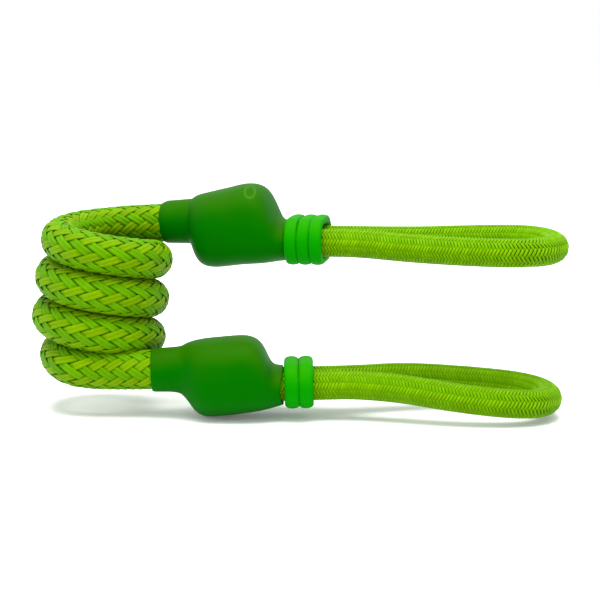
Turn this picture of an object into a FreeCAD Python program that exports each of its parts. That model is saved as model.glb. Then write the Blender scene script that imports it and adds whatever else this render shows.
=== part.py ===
"""Coiled rope tether: a braided rope wound in a short left-handed coil, with a moulded rubber boot on
each end, and an elastic loop held in each boot. Millimetres, +Z up, the coil's axis upright. The origin
is on the table under the middle of the whole tether."""

import FreeCAD, Part
import math
import os
import Sketcher

from FreeCAD import Placement, Rotation, Vector

SIZES = {
    # braided rope
    "rope_diameter": 11.0,
    "rope_cover": 1.1,
    # coil
    "coil_mean_radius": 13.4,
    "coil_gap": 0.1,
    "coil_half_turns": 7.0,
    "coil_lean": 0.1,
    # boot, measured from its rope mouth and from the axis of its collar
    "boot_length": 36.8,
    "boot_wall": 1.3,
    "collar_length": 7.0,
    "collar_wall": 0.65,
    "neck_length": 4.3,
    "neck_drop": 5.0,
    "neck_wall": 1.5,
    # clamp inside the boot
    "shoulder_length": 3.5,
    "clamp_gap": 0.2,
    "clamp_clearance": 0.15,
    "clamp_side_wall": 1.7,
    "clamp_top_cover": 1.65,
    "clamp_bottom_cover": 1.25,
    "screw_diameter": 3.0,
    "screw_head_diameter": 5.5,
    "screw_head_height": 1.7,
    "screw_reach": 5.2,
    "screw_land_rope": 1.2,
    "screw_land_loop": 1.6,
    "nut_flats": 5.5,
    "nut_height": 2.4,
    "hole_clearance": 0.1,
    # crimps
    "rope_crimp_wall": 0.6,
    "rope_crimp_length": 11.0,
    "rope_crimp_rim": 1.2,
    "rope_crimp_rim_length": 1.5,
    "loop_crimp_wall": 0.7,
    "loop_crimp_length": 9.0,
    # elastic loop
    "cord_diameter": 8.0,
    "cord_cover": 0.8,
    "leg_gap": 0.3,
    "loop_width": 26.0,
    "loop_reach": 75.8,
    # rings
    "ring_section": 3.2,
    "ring_clearance": 0.2,
    "ring_gap": 0.2,
    "ring_boot_gap": 0.2,
    # where the two ends sit
    "lead_beyond_coil_upper": 0.9,
    "lead_beyond_coil_lower": 0.3,
    "upper_yaw": 10.0,
    "upper_pitch": 0.5,
    "lower_pitch": 1.5,
    "lower_rise": 1.2,
    "boot_notch_clearance": 0.5,
}


def fitted_sizes(base):
    """The sizes that follow from what has to fit: cores in covers, legs side by side, a boot bulge deep
    enough for the clamp, its crimps and its screws, and turns and rings lying next to each other."""
    crimped_legs = 2 * base["cord_diameter"] + base["leg_gap"] + 2 * base["loop_crimp_wall"]
    skin = base["boot_wall"] + base["clamp_clearance"]
    rope_core = base["rope_diameter"] - 2 * base["rope_cover"]
    crimp_top = base["cord_diameter"] / 2 - base["neck_drop"] + base["loop_crimp_wall"]
    clamp_end = base["boot_length"] - base["neck_length"]
    head = base["screw_head_diameter"]
    return {
        "rope_core_diameter": rope_core,
        "cord_core_diameter": base["cord_diameter"] - 2 * base["cord_cover"],
        "coil_pitch": base["rope_diameter"] + base["coil_gap"],
        "leg_spacing": base["cord_diameter"] + base["leg_gap"],
        "bulge_width": crimped_legs + 2 * (base["clamp_side_wall"] + skin),
        "bulge_rise": crimp_top + base["screw_land_loop"] + head + base["clamp_top_cover"] + skin,
        "bulge_depth": rope_core / 2 + base["screw_land_rope"] + head + base["clamp_bottom_cover"] + skin,
        "clamp_start": base["collar_length"] + base["shoulder_length"],
        "clamp_end": clamp_end,
        "loop_crimp_start": clamp_end - base["loop_crimp_length"] - base["rope_crimp_rim_length"],
        "ring_pitch": base["ring_section"] + base["ring_gap"],
        "ring_start": base["ring_section"] / 2 + base["ring_boot_gap"],
        "lead_length_upper": base["coil_mean_radius"] + base["lead_beyond_coil_upper"],
        "lead_length_lower": base["coil_mean_radius"] + base["lead_beyond_coil_lower"],
    }


doc = FreeCAD.newDocument("coiled_tether")
sheet = doc.addObject("Spreadsheet::Sheet", "sizes")
for row, (alias, value) in enumerate({**SIZES, **fitted_sizes(SIZES)}.items(), start=1):
    sheet.set(f"A{row}", alias)
    sheet.set(f"B{row}", str(round(value, 6)))
    sheet.setAlias(f"B{row}", alias)
doc.recompute()


def size(alias):
    """The value of one driving dimension."""
    return float(sheet.get(alias))


def bind(feature, **expressions):
    """Bind properties of a feature to expressions on the sheet's cells."""
    for name, expression in expressions.items():
        feature.setExpression(name.replace("__", "."), expression)
    return feature


# ---------------------------------------------------------------------------
# small builders
# ---------------------------------------------------------------------------

ALONG_X = Rotation(Vector(0, 1, 0), 90)
ALONG_Y = Rotation(Vector(1, 0, 0), -90)


def rod(name, radius, length, start, turn=ALONG_X):
    """A cylinder whose radius and length are expressions, from a start point given as expressions."""
    item = doc.addObject("Part::Cylinder", name)
    item.Placement = Placement(Vector(), turn)
    bind(item, Radius=radius, Height=length)
    for axis, expression in zip("xyz", start):
        item.setExpression(f"Placement.Base.{axis}", expression)
    return item


def block(name, low, span):
    """A box from its lowest corner, sizes and corner given as expressions."""
    item = doc.addObject("Part::Box", name)
    bind(item, Length=span[0], Width=span[1], Height=span[2])
    for axis, expression in zip("xyz", low):
        item.setExpression(f"Placement.Base.{axis}", expression)
    return item


def cut(name, base, tool):
    """The base less the tool."""
    item = doc.addObject("Part::Cut", name)
    item.Base = base
    item.Tool = tool
    return item


def join(name, *items):
    """Several solids made one."""
    item = doc.addObject("Part::MultiFuse", name)
    item.Shapes = list(items)
    return item


def overlap(name, first, second):
    """What two solids share."""
    item = doc.addObject("Part::MultiCommon", name)
    item.Shapes = [first, second]
    return item


def group(name, *items):
    """Separate solids kept in one node."""
    item = doc.addObject("Part::Compound", name)
    item.Links = list(items)
    return item


def plane(body, role):
    """One of a body's own origin planes."""
    return next(item for item in body.Origin.OriginFeatures if item.Role == role)


def sketch_on(body, name, role, offset=None):
    """A sketch on one of a body's origin planes; offset is an expression along the plane's normal."""
    sketch = body.newObject("Sketcher::SketchObject", name)
    sketch.AttachmentSupport = (plane(body, role), [""])
    sketch.MapMode = "FlatFace"
    if offset:
        sketch.setExpression("AttachmentOffset.Base.z", offset)
    return sketch


# ---------------------------------------------------------------------------
# boot: one moulded form, used for the skin, its cavity and the clamp inside
# ---------------------------------------------------------------------------


def boot_stations(inset):
    """Sections of the boot along its length: place, top, bottom, half width and squareness. The collar is
    round, the bulge drops below it at the rope end and rises above it at the loop end, and the neck is a
    low oval that takes two legs of cord side by side."""
    collar = size("rope_diameter") / 2 + size("collar_wall")
    length = size("boot_length")
    end = size("collar_length")
    bulge = length - end
    depth = size("bulge_depth")
    rise = size("bulge_rise")
    half = size("bulge_width") / 2
    neck_half_height = size("cord_diameter") / 2 + size("neck_wall")
    neck_half_width = (size("leg_spacing") + size("cord_diameter")) / 2 + size("neck_wall")
    neck_top = neck_half_height - size("neck_drop")
    neck_bottom = -neck_half_height - size("neck_drop")
    sections = [
        (0.0, collar, -collar, collar, 2.0),
        (end * 0.5, collar, -collar, collar, 2.0),
        (end, collar + 0.1, -collar - 0.1, collar + 0.15, 2.0),
        (end + 0.10 * bulge, 0.69 * rise, -0.60 * depth, 0.64 * half, 2.1),
        (end + 0.20 * bulge, 0.78 * rise, -0.92 * depth, 0.84 * half, 2.2),
        (end + 0.33 * bulge, 0.88 * rise, -depth, 0.97 * half, 2.4),
        (end + 0.48 * bulge, 0.95 * rise, -0.985 * depth, half, 2.4),
        (end + 0.62 * bulge, rise, -0.95 * depth, half, 2.4),
        (end + 0.75 * bulge, 0.93 * rise, -0.91 * depth, half, 2.6),
        (end + 0.85 * bulge, 0.66 * rise, -0.87 * depth, 0.97 * half, 2.6),
        (end + 0.93 * bulge, neck_top + 0.11 * rise, neck_bottom - 0.4, neck_half_width + 0.6, 2.3),
        (length, neck_top, neck_bottom, neck_half_width, 2.3),
    ]
    return [(x, top - inset, low + inset, wide - inset, square) for x, top, low, wide, square in sections]


def oval(x, top, bottom, half_width, squareness):
    """A closed smooth section across X: an ellipse, or a slightly squared one."""
    middle = (top + bottom) / 2
    half_height = (top - bottom) / 2
    count = 24
    points = []
    for step in range(count):
        angle = 2 * math.pi * step / count - math.pi / 2
        across = math.copysign(abs(math.cos(angle)) ** (2 / squareness), math.cos(angle))
        up = math.copysign(abs(math.sin(angle)) ** (2 / squareness), math.sin(angle))
        points.append(Vector(x, half_width * across, middle + half_height * up))
    curve = Part.BSplineCurve()
    curve.interpolate(Points=points, PeriodicFlag=True)
    return Part.Wire([curve.toShape()])


def boot_form(name, inset):
    """The boot's moulded outer form, or the same form drawn in by a wall."""
    form = doc.addObject("Part::Feature", name)
    form.Shape = Part.makeLoft([oval(*section) for section in boot_stations(inset)], True, False)
    return form


def leg_slot(name, clearance, start, length):
    """The space that two legs of cord lying side by side fill, as a stadium drawn along X."""
    body = doc.addObject("PartDesign::Body", name)
    outline = sketch_on(body, name + "_outline", "YZ_Plane", start)
    radius = size("cord_diameter") / 2 + clearance
    reach = size("leg_spacing") / 2
    middle = -size("neck_drop")
    right = Part.Circle(Vector(reach, middle, 0), Vector(0, 0, 1), radius)
    left = Part.Circle(Vector(-reach, middle, 0), Vector(0, 0, 1), radius)
    quarter = math.pi / 2
    outline.addGeometry(Part.ArcOfCircle(right, -quarter, quarter))
    outline.addGeometry(Part.ArcOfCircle(left, quarter, 3 * quarter))
    outline.addGeometry(Part.LineSegment(Vector(reach, middle + radius, 0), Vector(-reach, middle + radius, 0)))
    outline.addGeometry(Part.LineSegment(Vector(-reach, middle - radius, 0), Vector(reach, middle - radius, 0)))
    Meet = Sketcher.Constraint
    outline.addConstraint(
        [
            Meet("Tangent", 0, 2, 2, 1),
            Meet("Tangent", 2, 2, 1, 1),
            Meet("Tangent", 1, 2, 3, 1),
            Meet("Tangent", 3, 2, 0, 1),
        ]
    )
    outline.addConstraint(Meet("Horizontal", 2))
    outline.addConstraint(Meet("Symmetric", 0, 3, 1, 3, -2))
    slot_radius = outline.addConstraint(Meet("Radius", 0, radius))
    slot_reach = outline.addConstraint(Meet("DistanceX", 1, 3, 0, 3, 2 * reach))
    slot_drop = outline.addConstraint(Meet("DistanceY", 0, 3, -1, 1, -middle))
    outline.setExpression(f"Constraints[{slot_radius}]", f"sizes.cord_diameter / 2 + {clearance}")
    outline.setExpression(f"Constraints[{slot_reach}]", "sizes.leg_spacing")
    outline.setExpression(f"Constraints[{slot_drop}]", "sizes.neck_drop")
    pad = body.newObject("PartDesign::Pad", name + "_pad")
    pad.Profile = outline
    pad.setExpression("Length", length)
    body.Tip = pad
    return body


# ---------------------------------------------------------------------------
# pieces of one end, in the boot's own frame: +X from the rope mouth to the loop
# ---------------------------------------------------------------------------


def boot(end):
    """The rubber boot: a tight collar on the rope, a thin-walled lumpy bulge and a neck round both legs."""
    skin = boot_form(end + "_skin", 0)
    hollow = boot_form(end + "_hollow", size("boot_wall"))
    room = block(
        end + "_room",
        ("sizes.clamp_start - 1", "-sizes.bulge_width", "-sizes.bulge_width"),
        ("sizes.clamp_end - sizes.clamp_start + 1.8", "2 * sizes.bulge_width", "2 * sizes.bulge_width"),
    )
    cavity = overlap(end + "_cavity", hollow, room)
    rope_way = rod(
        end + "_rope_way",
        "sizes.rope_diameter / 2",
        "sizes.clamp_start + 2",
        ("-1", "0", "0"),
    )
    leg_way = leg_slot(end + "_leg_way", 0.05, "sizes.clamp_end - 1", "sizes.boot_length - sizes.clamp_end + 3")
    hollowed = join(end + "_ways", cavity, rope_way, leg_way)
    return cut(end + "_boot_shape", skin, hollowed)


def rope_crimp(end):
    """A metal sleeve crimped on the rope's core, with a rim that the clamp traps."""
    body = doc.addObject("PartDesign::Body", end + "_rope_crimp_body")
    profile = sketch_on(body, end + "_rope_crimp_profile", "XZ_Plane")
    bore = size("rope_core_diameter") / 2
    outer = bore + size("rope_crimp_wall")
    rim = outer + size("rope_crimp_rim")
    start = size("clamp_start") - 1.5
    finish = start + size("rope_crimp_length")
    shoulder = finish - size("rope_crimp_rim_length")
    corners = [(start, bore), (finish, bore), (finish, rim), (shoulder, rim), (shoulder, outer), (start, outer)]
    for index, corner in enumerate(corners):
        following = corners[(index + 1) % len(corners)]
        profile.addGeometry(Part.LineSegment(Vector(*corner, 0), Vector(*following, 0)))
    count = len(corners)
    for index in range(count):
        profile.addConstraint(Sketcher.Constraint("Coincident", index, 2, (index + 1) % count, 1))
    for index in (0, 2, 4):
        profile.addConstraint(Sketcher.Constraint("Horizontal", index))
    for index in (1, 3, 5):
        profile.addConstraint(Sketcher.Constraint("Vertical", index))
    places = [
        ("DistanceX", 0, start, "sizes.clamp_start - 1.5"),
        ("DistanceY", 0, bore, "sizes.rope_core_diameter / 2"),
        ("DistanceX", 1, finish, "sizes.clamp_start - 1.5 + sizes.rope_crimp_length"),
        ("DistanceY", 2, rim, "sizes.rope_core_diameter / 2 + sizes.rope_crimp_wall + sizes.rope_crimp_rim"),
        (
            "DistanceX",
            3,
            shoulder,
            "sizes.clamp_start - 1.5 + sizes.rope_crimp_length - sizes.rope_crimp_rim_length",
        ),
        ("DistanceY", 4, outer, "sizes.rope_core_diameter / 2 + sizes.rope_crimp_wall"),
    ]
    for kind, line, value, expression in places:
        number = profile.addConstraint(Sketcher.Constraint(kind, -1, 1, line, 1, value))
        profile.setExpression(f"Constraints[{number}]", expression)
    turned = body.newObject("PartDesign::Revolution", end + "_rope_crimp_turned")
    turned.Profile = profile
    turned.ReferenceAxis = (profile, ["H_Axis"])
    turned.Angle = 360
    body.Tip = turned
    return body


def loop_crimp(end):
    """A flattened metal sleeve crimped round both legs of the elastic loop."""
    start = "sizes.loop_crimp_start"
    length = "sizes.loop_crimp_length"
    outside = leg_slot(end + "_crimp_outside", size("loop_crimp_wall"), start, length)
    outside_sketch = doc.getObject(end + "_crimp_outside_outline")
    outside_sketch.setExpression(
        f"Constraints[{radius_row(outside_sketch)}]",
        "sizes.cord_diameter / 2 + sizes.loop_crimp_wall",
    )
    inside = leg_slot(end + "_crimp_inside", 0, start + " - 1", length + " + 2")
    return cut(end + "_loop_crimp_shape", outside, inside)


def radius_row(sketch):
    """The number of the sketch's radius constraint."""
    return next(i for i, item in enumerate(sketch.Constraints) if item.Type == "Radius")


def clamp_halves(end):
    """A two-part nylon clamp that fills the boot's bulge, bored for both crimps and for two screws, one
    below the rope and one above the loop, which is why the bulges lie on a diagonal."""
    filling = boot_form(end + "_filling", size("boot_wall") + size("clamp_clearance"))
    length = "sizes.clamp_end - sizes.clamp_start"
    wide = "sizes.bulge_width"
    rope_bore = rod(
        end + "_rope_bore",
        "sizes.rope_core_diameter / 2 + sizes.rope_crimp_wall + sizes.hole_clearance",
        "sizes.rope_crimp_length + 4",
        ("sizes.clamp_start - 4", "0", "0"),
    )
    rim_groove = rod(
        end + "_rim_groove",
        "sizes.rope_core_diameter / 2 + sizes.rope_crimp_wall + sizes.rope_crimp_rim + sizes.hole_clearance",
        "sizes.rope_crimp_rim_length + 2 * sizes.hole_clearance",
        (
            "sizes.clamp_start - 1.5 + sizes.rope_crimp_length - sizes.rope_crimp_rim_length"
            " - sizes.hole_clearance",
            "0",
            "0",
        ),
    )
    crimp_pocket = leg_slot(
        end + "_crimp_pocket",
        size("loop_crimp_wall"),
        "sizes.loop_crimp_start - sizes.hole_clearance",
        "sizes.loop_crimp_length + 2 * sizes.hole_clearance",
    )
    pocket_sketch = doc.getObject(end + "_crimp_pocket_outline")
    pocket_sketch.setExpression(
        f"Constraints[{radius_row(pocket_sketch)}]",
        "sizes.cord_diameter / 2 + sizes.loop_crimp_wall + sizes.hole_clearance",
    )
    leg_pocket = leg_slot(end + "_leg_pocket", 0.1, "sizes.loop_crimp_start", "sizes.boot_length")
    cuts = [rope_bore, rim_groove, crimp_pocket, leg_pocket]
    for number in (1, 2):
        across, up = screw_place(number)
        shank = rod(
            f"{end}_shank_hole_{number}",
            "sizes.screw_diameter / 2 + sizes.hole_clearance",
            "2 * sizes.bulge_width",
            (across, "-sizes.bulge_width", up),
            ALONG_Y,
        )
        head = rod(
            f"{end}_head_hole_{number}",
            "sizes.screw_head_diameter / 2 + sizes.hole_clearance",
            "sizes.bulge_width",
            (across, "-sizes.bulge_width - sizes.screw_reach + sizes.screw_head_height", up),
            ALONG_Y,
        )
        nut = rod(
            f"{end}_nut_hole_{number}",
            "sizes.nut_flats / 2 / cos(30) + sizes.hole_clearance",
            "sizes.bulge_width",
            (across, "sizes.screw_reach - sizes.nut_height", up),
            ALONG_Y,
        )
        cuts += [shank, head, nut]
    bores = join(end + "_bores", *cuts)
    filled = cut(end + "_bored", filling, bores)
    halves = []
    for side, low in (("front", "-sizes.bulge_width"), ("back", "sizes.clamp_gap / 2")):
        half_space = block(
            f"{end}_{side}_space",
            ("sizes.clamp_start", low, "-sizes.bulge_width"),
            (length, wide + " - sizes.clamp_gap / 2", "2 * sizes.bulge_width"),
        )
        halves.append(overlap(f"{end}_clamp_{side}_shape", filled, half_space))
    return halves


def screw_place(number):
    """Where a clamp screw's axis crosses the clamp, as expressions for its place along and above."""
    if number == 1:
        return (
            "sizes.collar_length + 0.319 * (sizes.boot_length - sizes.collar_length)",
            "-(sizes.rope_core_diameter + sizes.screw_head_diameter) / 2 - sizes.screw_land_rope",
        )
    return (
        "sizes.loop_crimp_start + sizes.loop_crimp_length / 2",
        "(sizes.screw_head_diameter + sizes.cord_diameter) / 2 - sizes.neck_drop + sizes.loop_crimp_wall"
        " + sizes.screw_land_loop",
    )


def clamp_screws(end):
    """Two pan-head screws with a hexagon socket, driven from the front."""
    screws = []
    for number in (1, 2):
        across, up = screw_place(number)
        shank = rod(
            f"{end}_screw_shank_{number}",
            "sizes.screw_diameter / 2",
            "2 * sizes.screw_reach - sizes.screw_head_height",
            (across, "-sizes.screw_reach + sizes.screw_head_height", up),
            ALONG_Y,
        )
        head = rod(
            f"{end}_screw_head_{number}",
            "sizes.screw_head_diameter / 2",
            "sizes.screw_head_height",
            (across, "-sizes.screw_reach", up),
            ALONG_Y,
        )
        socket = doc.addObject("Part::Prism", f"{end}_screw_socket_{number}")
        socket.Polygon = 6
        socket.Placement = Placement(Vector(), ALONG_Y)
        bind(socket, Circumradius="sizes.screw_diameter / 3", Height="sizes.screw_head_height * 0.6")
        socket.setExpression("Placement.Base.x", across)
        socket.setExpression("Placement.Base.y", "-sizes.screw_reach")
        socket.setExpression("Placement.Base.z", up)
        solid = join(f"{end}_screw_solid_{number}", shank, head)
        screws.append(cut(f"{end}_screw_{number}", solid, socket))
    return group(end + "_clamp_screws_group", *screws)


def clamp_nuts(end):
    """Two hexagon nuts in pockets at the back."""
    nuts = []
    for number in (1, 2):
        across, up = screw_place(number)
        blank = doc.addObject("Part::Prism", f"{end}_nut_blank_{number}")
        blank.Polygon = 6
        blank.Placement = Placement(Vector(), ALONG_Y)
        bind(blank, Circumradius="sizes.nut_flats / 2 / cos(30)", Height="sizes.nut_height")
        blank.setExpression("Placement.Base.x", across)
        blank.setExpression("Placement.Base.y", "sizes.screw_reach - sizes.nut_height")
        blank.setExpression("Placement.Base.z", up)
        hole = rod(
            f"{end}_nut_bore_{number}",
            "sizes.screw_diameter / 2",
            "2 * sizes.nut_height",
            (across, "sizes.screw_reach - sizes.nut_height * 1.5", up),
            ALONG_Y,
        )
        nuts.append(cut(f"{end}_nut_{number}", blank, hole))
    return group(end + "_clamp_nuts_group", *nuts)


def rope_lead(end):
    """The straight stretch of rope from the coil into the boot: braided sheath and filled core."""
    lead = f"sizes.lead_length_{end}"
    start = (f"-{lead}", "0", "0")
    sheath_length = f"{lead} + sizes.clamp_start - 1.5"
    outside = rod(end + "_sheath_outside", "sizes.rope_diameter / 2", sheath_length, start)
    inside = rod(
        end + "_sheath_inside",
        "sizes.rope_core_diameter / 2",
        sheath_length + " + 2",
        (f"-{lead} - 1", "0", "0"),
    )
    sheath = cut(end + "_rope_sheath_shape", outside, inside)
    core = rod(
        end + "_rope_core_shape",
        "sizes.rope_core_diameter / 2",
        f"{lead} + sizes.clamp_start - 1.5 + sizes.rope_crimp_length",
        start,
    )
    return sheath, core


# ---------------------------------------------------------------------------
# elastic loop
# ---------------------------------------------------------------------------

# Route of one leg past the neck, in the boot's frame: share of the reach, share of the half width between
# the leg at the neck and the widest place, and height. The other leg mirrors it.
LOOP_ROUTES = {
    "upper": [(0.28, 0.0, 0.0), (0.48, 0.33, -0.6), (0.70, 0.85, -0.7), (0.90, 1.0, -0.9)],
    "lower": [(0.28, 0.0, 0.0), (0.46, 0.45, -1.3), (0.66, 0.95, -3.6), (0.90, 1.0, -5.9)],
}
TIP_HEIGHTS = {"upper": -1.0, "lower": -6.5}
LOOP_ROLL = {"upper": 0.06, "lower": 0.06}


def loop_route(end):
    """Corner points of the loop's centre line, from inside the crimp, round the tip and back."""
    legs = size("leg_spacing") / 2
    half = size("loop_width") / 2
    neck = size("boot_length")
    drop = -size("neck_drop")
    tip = neck + size("loop_reach")
    turn = half * math.tan(math.pi / 8)
    leg = [(size("loop_crimp_start"), legs, drop)]
    for share, opening, height in LOOP_ROUTES[end][:-1]:
        leg.append((neck + share * size("loop_reach"), legs + opening * (half - legs), drop + height))
    leg.append((tip - half + turn, half, drop + LOOP_ROUTES[end][-1][2]))
    leg.append((tip, turn, drop + TIP_HEIGHTS[end]))
    roll = LOOP_ROLL[end]
    straight = leg[:2]
    spread = leg[2:]
    near = [Vector(x, -y, z) for x, y, z in straight] + [Vector(x, -y, z - roll * y) for x, y, z in spread]
    far = [Vector(x, y, z) for x, y, z in straight] + [Vector(x, y, z + roll * y) for x, y, z in spread]
    return near + far[::-1]


def rounded_path(points, share=0.45):
    """Straight runs joined by tangent arcs, each as large as its two runs allow; prints the radii."""
    edges = []
    radii = []
    start = points[0]
    for before, corner, after in zip(points, points[1:], points[2:]):
        back = before - corner
        onward = after - corner
        reach = share * min(back.Length, onward.Length)
        back.normalize()
        onward.normalize()
        turn = math.pi - back.getAngle(onward)
        radius = reach / math.tan(turn / 2)
        radii.append(round(radius, 1))
        entry = corner + back * reach
        leave = corner + onward * reach
        inward = (back + onward).normalize()
        middle = corner + inward * (radius / math.cos(turn / 2) - radius)
        edges.append(Part.LineSegment(start, entry).toShape())
        edges.append(Part.Arc(entry, middle, leave).toShape())
        start = leave
    edges.append(Part.LineSegment(start, points[-1]).toShape())
    print("bend radii, mm:", radii)
    return Part.Wire(edges)


def swept(path, radius):
    """A round rod along a path."""
    start = path.Edges[0].valueAt(path.Edges[0].FirstParameter)
    heading = path.Edges[0].tangentAt(path.Edges[0].FirstParameter)
    section = Part.Wire([Part.Circle(start, heading, radius).toShape()])
    solid = path.makePipeShell([section], True, False)
    expected = math.pi * radius**2 * path.Length
    if abs(solid.Volume / expected - 1) > 0.01:
        raise ValueError(f"the rod's volume {solid.Volume:.1f} is not {expected:.1f}")
    return solid


def elastic_loop(end):
    """The loop's braided cover and its core of rubber strands, both along one route."""
    path = rounded_path(loop_route(end))
    print(end, "loop length, mm:", round(path.Length, 1))
    outer = swept(path, size("cord_diameter") / 2)
    inner = swept(path, size("cord_core_diameter") / 2)
    cover = doc.addObject("Part::Feature", end + "_loop_cover_shape")
    cover.Shape = outer.cut(inner)
    core = doc.addObject("Part::Feature", end + "_loop_core_shape")
    core.Shape = inner
    return cover, core


def ring(end, number):
    """A rubber ring stretched to an oval round both legs."""
    name = f"{end}_ring_{number}_body"
    body = doc.addObject("PartDesign::Body", name)
    place = f"sizes.boot_length + sizes.ring_start + {number - 1} * sizes.ring_pitch"
    spine = sketch_on(body, name + "_spine", "YZ_Plane", place)
    grip = size("cord_diameter") / 2 + size("ring_clearance") + size("ring_section") / 2
    reach = size("leg_spacing") / 2
    middle = -size("neck_drop")
    quarter = math.pi / 2
    right = Part.Circle(Vector(reach, middle, 0), Vector(0, 0, 1), grip)
    left = Part.Circle(Vector(-reach, middle, 0), Vector(0, 0, 1), grip)
    spine.addGeometry(Part.LineSegment(Vector(-reach, middle - grip, 0), Vector(reach, middle - grip, 0)))
    spine.addGeometry(Part.ArcOfCircle(right, -quarter, quarter))
    spine.addGeometry(Part.LineSegment(Vector(reach, middle + grip, 0), Vector(-reach, middle + grip, 0)))
    spine.addGeometry(Part.ArcOfCircle(left, quarter, 3 * quarter))
    for first, second in ((0, 1), (1, 2), (2, 3), (3, 0)):
        spine.addConstraint(Sketcher.Constraint("Tangent", first, 2, second, 1))
    spine.addConstraint(Sketcher.Constraint("Horizontal", 0))
    spine.addConstraint(Sketcher.Constraint("Symmetric", 1, 3, 3, 3, -2))
    grip_row = spine.addConstraint(Sketcher.Constraint("Radius", 1, grip))
    reach_row = spine.addConstraint(Sketcher.Constraint("DistanceX", 3, 3, 1, 3, 2 * reach))
    drop_row = spine.addConstraint(Sketcher.Constraint("DistanceY", 1, 3, -1, 1, -middle))
    spine.setExpression(
        f"Constraints[{grip_row}]",
        "sizes.cord_diameter / 2 + sizes.ring_clearance + sizes.ring_section / 2",
    )
    spine.setExpression(f"Constraints[{reach_row}]", "sizes.leg_spacing")
    spine.setExpression(f"Constraints[{drop_row}]", "sizes.neck_drop")
    section = sketch_on(body, name + "_section", "XZ_Plane")
    along = size("boot_length") + size("ring_start") + (number - 1) * size("ring_pitch")
    section.addGeometry(
        Part.Circle(Vector(along, middle - grip, 0), Vector(0, 0, 1), size("ring_section") / 2)
    )
    thick_row = section.addConstraint(Sketcher.Constraint("Radius", 0, size("ring_section") / 2))
    along_row = section.addConstraint(Sketcher.Constraint("DistanceX", -1, 1, 0, 3, along))
    low_row = section.addConstraint(Sketcher.Constraint("DistanceY", 0, 3, -1, 1, grip - middle))
    section.setExpression(f"Constraints[{thick_row}]", "sizes.ring_section / 2")
    section.setExpression(f"Constraints[{along_row}]", place)
    section.setExpression(
        f"Constraints[{low_row}]",
        "sizes.neck_drop + sizes.cord_diameter / 2 + sizes.ring_clearance + sizes.ring_section / 2",
    )
    pipe = body.newObject("PartDesign::AdditivePipe", name + "_pipe")
    pipe.Profile = section
    pipe.Spine = (spine, ["Edge1", "Edge2", "Edge3", "Edge4"])
    pipe.Mode = "Frenet"
    body.Tip = pipe
    return body


# ---------------------------------------------------------------------------
# coil
# ---------------------------------------------------------------------------


def coil_level():
    """Height of the lower lead's axis where it leaves the coil."""
    return size("bulge_depth") - size("lower_rise")


def coil_rise():
    """How far the rope climbs from where the lower lead leaves the coil to where the upper one does."""
    return size("coil_pitch") * (size("coil_half_turns") / 2 + size("upper_yaw") / 360)


def end_places():
    """Where each boot's rope mouth sits: the leads leave the coil along its tangents, the lower one at the
    front and the upper one just short of the back, and both climb a little towards their boots."""
    radius = size("coil_mean_radius")
    yaw = math.radians(size("upper_yaw"))
    lower_tangent = Vector(0, -radius, coil_level())
    upper_tangent = Vector(radius * math.sin(yaw), radius * math.cos(yaw), coil_level() + coil_rise())
    lower_turn = Rotation(Vector(0, 1, 0), -size("lower_pitch"))
    upper_turn = Rotation(Vector(0, 0, 1), -size("upper_yaw")) * Rotation(Vector(0, 1, 0), -size("upper_pitch"))
    lower_mouth = lower_tangent + lower_turn.multVec(Vector(size("lead_length_lower"), 0, 0))
    upper_mouth = upper_tangent + upper_turn.multVec(Vector(size("lead_length_upper"), 0, 0))
    return {"upper": Placement(upper_mouth, upper_turn), "lower": Placement(lower_mouth, lower_turn)}


def coil(places):
    """The coil's outer shape: one thick tube that leans a little, notched where the leads leave it."""
    radius = size("coil_mean_radius")
    rope = size("rope_diameter") / 2
    bottom = coil_level() - rope
    top = coil_level() + coil_rise() + rope
    middle = (bottom + top) / 2
    solids = []
    for wall in (radius + rope, radius - rope):
        rims = []
        for level in (bottom, top):
            centre = Vector(size("coil_lean") * (level - middle), 0, level)
            rims.append(Part.Wire([Part.Circle(centre, Vector(0, 0, 1), wall).toShape()]))
        solids.append(Part.makeLoft(rims, True, True))
    shape = solids[0].cut(solids[1])
    for end, place in places.items():
        lead = size("lead_length_" + end)
        gap = size("boot_notch_clearance")
        collar = rope + size("collar_wall") + gap
        rope_space = Part.makeCylinder(rope, lead + 1, Vector(-lead, 0, 0), Vector(1, 0, 0))
        boot_space = Part.makeCylinder(collar, 4 * radius, Vector(-gap, 0, 0), Vector(1, 0, 0))
        for space in (rope_space, boot_space):
            space.Placement = place
            shape = shape.cut(space)
    feature = doc.addObject("Part::Feature", "coil_shape")
    feature.Shape = shape
    return feature


# ---------------------------------------------------------------------------
# assembly
# ---------------------------------------------------------------------------

RING_COUNTS = {"upper": 3, "lower": 2}


def end_pieces(end):
    """All the pieces of one end, by node name."""
    front, back = clamp_halves(end)
    sheath, core = rope_lead(end)
    cover, loop_core = elastic_loop(end)
    pieces = {
        end + "_boot": boot(end),
        end + "_clamp_front": front,
        end + "_clamp_back": back,
        end + "_clamp_screws": clamp_screws(end),
        end + "_clamp_nuts": clamp_nuts(end),
        end + "_rope_sheath": sheath,
        end + "_rope_core": core,
        end + "_rope_crimp": rope_crimp(end),
        end + "_loop_crimp": loop_crimp(end),
        end + "_loop_cover": cover,
        end + "_loop_core": loop_core,
    }
    for number in range(1, RING_COUNTS[end] + 1):
        pieces[f"{end}_ring_{number}"] = ring(end, number)
    return pieces


places = end_places()
sub_parts = {"coil": (coil(places), Placement())}
for end, place in places.items():
    for node, piece in end_pieces(end).items():
        sub_parts[node] = (piece, place)
doc.recompute()

faults = [item.Name for item in doc.Objects if {"Invalid", "Error"} & set(item.State)]
if faults:
    raise RuntimeError(f"these features failed: {faults}")

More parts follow.
